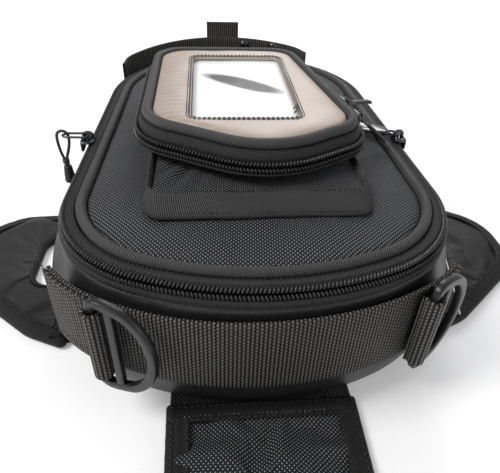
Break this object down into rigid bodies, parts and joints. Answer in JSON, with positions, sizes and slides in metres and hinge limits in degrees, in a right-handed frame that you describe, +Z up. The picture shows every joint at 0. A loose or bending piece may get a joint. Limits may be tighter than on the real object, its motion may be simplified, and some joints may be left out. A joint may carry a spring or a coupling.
{
  "type": "motorcycle tank bag",
  "caption": "Low soft bag with zipped domed lid, windowed top pocket, magnetic side wings and near flap, webbing straps and D-rings.",
  "frame": {"origin": "centre of the base's underside, where the bag rests", "axes": "+Z up from the base, +Y towards the far end with the lid's hinge, +X to the right seen from the near end"},
  "size_m": [0.344, 0.3814, 0.1073],
  "materials": {
    "leather": "semi-matte grained synthetic leather",
    "padding": "closed-cell foam",
    "lining": "plain woven lining",
    "board": "stiff sheet",
    "webbing": "ribbed woven webbing",
    "ballistic_fabric": "coarse basket-weave nylon",
    "tape": "fine twill zip tape",
    "coil": "satin nylon coil",
    "piping": "diagonal rib bound piping",
    "oxford_fabric": "fine plain-weave nylon",
    "binding": "grosgrain edge binding",
    "pocket_leather": "fine grained taupe sheet",
    "clear_film": "clear flexible film",
    "card": "plain white card",
    "thread": "lockstitch thread",
    "magnet": "plated magnet",
    "ring_plastic": "moulded acetal, soft gloss",
    "slider_metal": "dark nickel plate",
    "cord": "thin braided cord",
    "grip_rubber": "moulded rubber",
    "gloss_puller": "high-gloss moulding",
    "strap_puller": "narrow coated strap",
    "stud_metal": "polished dark nickel",
    "tag_card": "black board with a pale core"
  },
  "bodies": {
    "bag": {"body_wall": "leather", "wall_padding": "padding", "wall_lining": "lining", "base_panel": "leather", "base_board": "board", "front_strap": "webbing", "rear_strap": "webbing", "ring_loop_left": "webbing", "ring_loop_right": "webbing", "zip_lower_tape": "tape", "zip_lower_coil": "coil", "hinge_band": "tape", "rear_tab": "webbing", "rear_studs": "stud_metal"},
    "lid": {"zip_upper_coil": "coil", "zip_upper_tape": "tape", "lid_piping": "piping", "lid_lining": "lining", "lid_padding": "padding", "lid_panel": "ballistic_fabric", "pocket_tray": "oxford_fabric", "pocket_recess": "ballistic_fabric", "pocket_lower_tape": "tape", "pocket_lower_coil": "coil"},
    "pocket_lid": {"pocket_upper_coil": "coil", "pocket_upper_tape": "tape", "pocket_piping": "piping", "pocket_panel": "pocket_leather", "window_card": "card", "window_film": "clear_film", "window_stitching": "thread"},
    "wing_left": {"wing_left_binding": "binding", "wing_left_base": "leather", "wing_left_top": "leather", "wing_left_foam": "padding", "wing_left_magnets": "magnet"},
    "wing_right": {"wing_right_binding": "binding", "wing_right_base": "leather", "wing_right_top": "leather", "wing_right_foam": "padding", "wing_right_magnets": "magnet", "swing_tag": "tag_card"},
    "flap": {"flap_binding": "binding", "flap_base": "leather", "flap_top": "ballistic_fabric", "flap_foam": "padding", "flap_magnets": "magnet"},
    "ring_left": {"d_ring_left": "ring_plastic"},
    "ring_right": {"d_ring_right": "ring_plastic"},
    "main_slider_left": {"main_slider_left": "slider_metal"},
    "main_slider_right": {"main_slider_right": "slider_metal"},
    "pocket_slider_front": {"pocket_slider_front": "slider_metal"},
    "pocket_slider_rear": {"pocket_slider_rear": "slider_metal"},
    "main_pull_left": {"main_pull_left_wire": "slider_metal"},
    "main_pull_left_end": {"main_pull_left_cord": "cord", "main_pull_left_grip": "grip_rubber"},
    "main_pull_right": {"main_pull_right": "gloss_puller"},
    "pocket_pull_front": {"pocket_pull_front": "strap_puller"},
    "pocket_pull_rear": {"pocket_pull_rear": "strap_puller"}
  },
  "joints": [
    {"name": "lid_hinge", "type": "hinge", "parent": "bag", "child": "lid", "pos_m": [0, 0.143, 0.074], "axis": [-1, 0, 0], "range_deg": [0, 90]},
    {"name": "pocket_hinge", "type": "hinge", "parent": "lid", "child": "pocket_lid", "pos_m": [0, 0.0626, 0.0959], "axis": [-1, 0, 0], "range_deg": [0, 95]},
    {"name": "wing_left_hinge", "type": "hinge", "parent": "bag", "child": "wing_left", "pos_m": [-0.0976, -0.042, 0.003], "axis": [0, 1, 0], "range_deg": [-35, 26]},
    {"name": "wing_right_hinge", "type": "hinge", "parent": "bag", "child": "wing_right", "pos_m": [0.0976, -0.042, 0.003], "axis": [0, -1, 0], "range_deg": [-35, 26]},
    {"name": "flap_hinge", "type": "hinge", "parent": "bag", "child": "flap", "pos_m": [0, -0.1406, 0.0026], "axis": [-1, 0, 0], "range_deg": [-35, 38]},
    {"name": "ring_left_swing", "type": "hinge", "parent": "bag", "child": "ring_left", "pos_m": [-0.06886, -0.13788, 0.045], "axis": [0, 0, 1], "range_deg": [-100, 0]},
    {"name": "ring_right_swing", "type": "hinge", "parent": "bag", "child": "ring_right", "pos_m": [0.06886, -0.13788, 0.045], "axis": [0, 0, 1], "range_deg": [-100, 0]},
    {"name": "main_slide_left", "type": "slide", "parent": "lid", "child": "main_slider_left", "axis": [0.0304, 0.9995, 0], "range_m": [-0.028, 0.06]},
    {"name": "main_slide_right", "type": "slide", "parent": "lid", "child": "main_slider_right", "axis": [-0.0304, 0.9995, 0], "range_m": [-0.028, 0.06]},
    {"name": "pocket_slide_front", "type": "slide", "parent": "pocket_lid", "child": "pocket_slider_front", "axis": [-0.1657, 0.9862, 0], "range_m": [-0.02, 0.004]},
    {"name": "pocket_slide_rear", "type": "slide", "parent": "pocket_lid", "child": "pocket_slider_rear", "axis": [-0.1657, 0.9862, 0], "range_m": [-0.003, 0.04]},
    {"name": "main_pull_left_flip", "type": "hinge", "parent": "main_slider_left", "child": "main_pull_left", "pos_m": [-0.08809, -0.02, 0.0806], "axis": [0.0304, 0.9995, 0], "range_deg": [0, 150]},
    {"name": "main_pull_left_swing", "type": "hinge", "parent": "main_pull_left", "child": "main_pull_left_end", "pos_m": [-0.10199, -0.02042, 0.0806], "axis": [0.0304, 0.9995, 0], "range_deg": [0, 60]},
    {"name": "main_pull_right_flip", "type": "hinge", "parent": "main_slider_right", "child": "main_pull_right", "pos_m": [0.08809, -0.02, 0.0806], "axis": [0.3133, 0.9497, 0], "range_deg": [0, 20]},
    {"name": "pocket_pull_front_flip", "type": "hinge", "parent": "pocket_slider_front", "child": "pocket_pull_front", "pos_m": [0.05877, -0.0333, 0.0971], "axis": [-0.1392, -0.9903, 0], "range_deg": [0, 120]},
    {"name": "pocket_pull_rear_flip", "type": "hinge", "parent": "pocket_slider_rear", "child": "pocket_pull_rear", "pos_m": [0.05558, -0.0143, 0.0971], "axis": [0.5299, -0.848, 0], "range_deg": [0, 80]}
  ]
}
